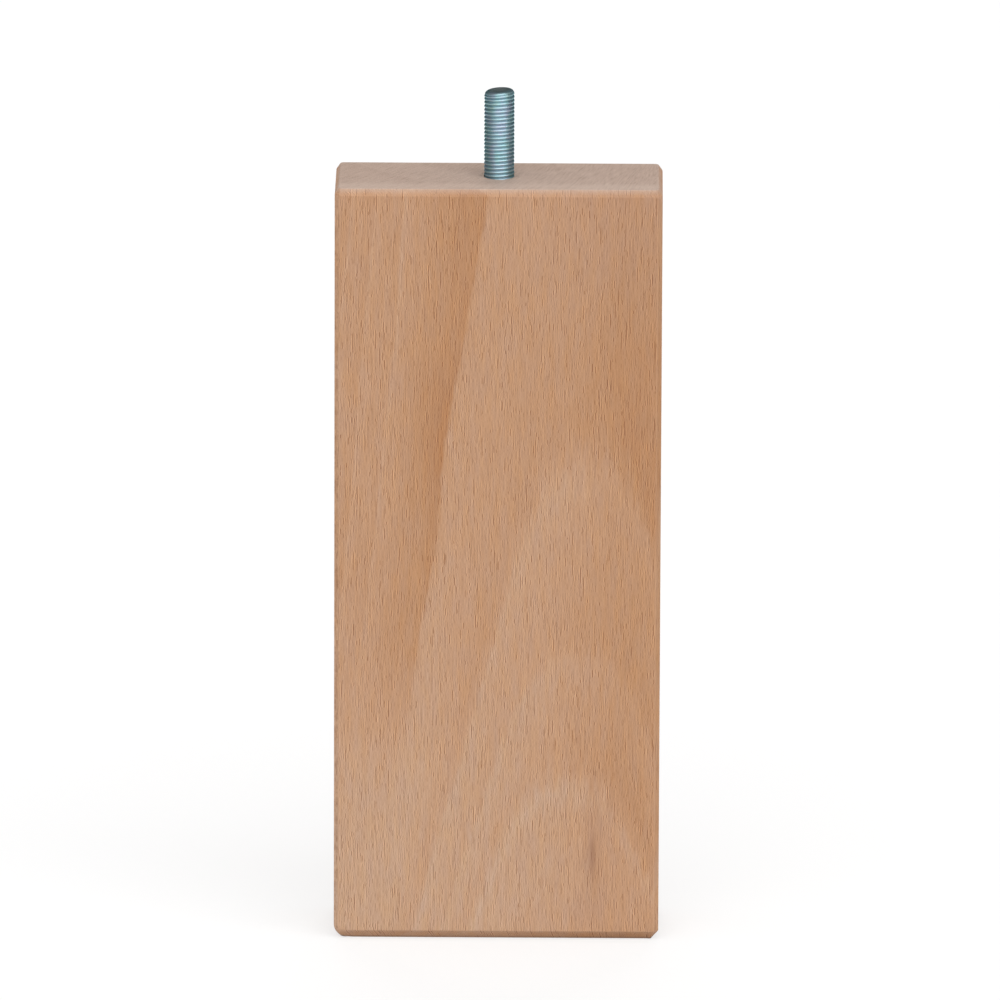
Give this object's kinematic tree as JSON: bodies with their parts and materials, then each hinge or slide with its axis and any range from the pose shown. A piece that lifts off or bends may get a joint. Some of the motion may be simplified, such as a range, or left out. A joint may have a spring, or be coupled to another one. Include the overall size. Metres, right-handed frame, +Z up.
{
  "type": "wooden furniture leg",
  "caption": "Straight rectangular block leg of planed beech with bevelled edges and an M8 threaded stud in its top end, for screwing under a sofa, bed base or cabinet.",
  "frame": {"origin": "centre of the foot, on the surface that the leg stands on", "axes": "+Z up along the leg and its stud, +X across the wide faces, +Y from the front face to the back face"},
  "size_m": [0.084, 0.03, 0.223],
  "materials": {
    "beech": "planed and sanded steamed beech with a thin satin finish",
    "zinc_plate": "rolled thread, blue-passivated zinc plate"
  },
  "bodies": {
    "root": {"leg_block": "beech", "hanger_bolt": "zinc_plate"}
  },
  "joints": []
}
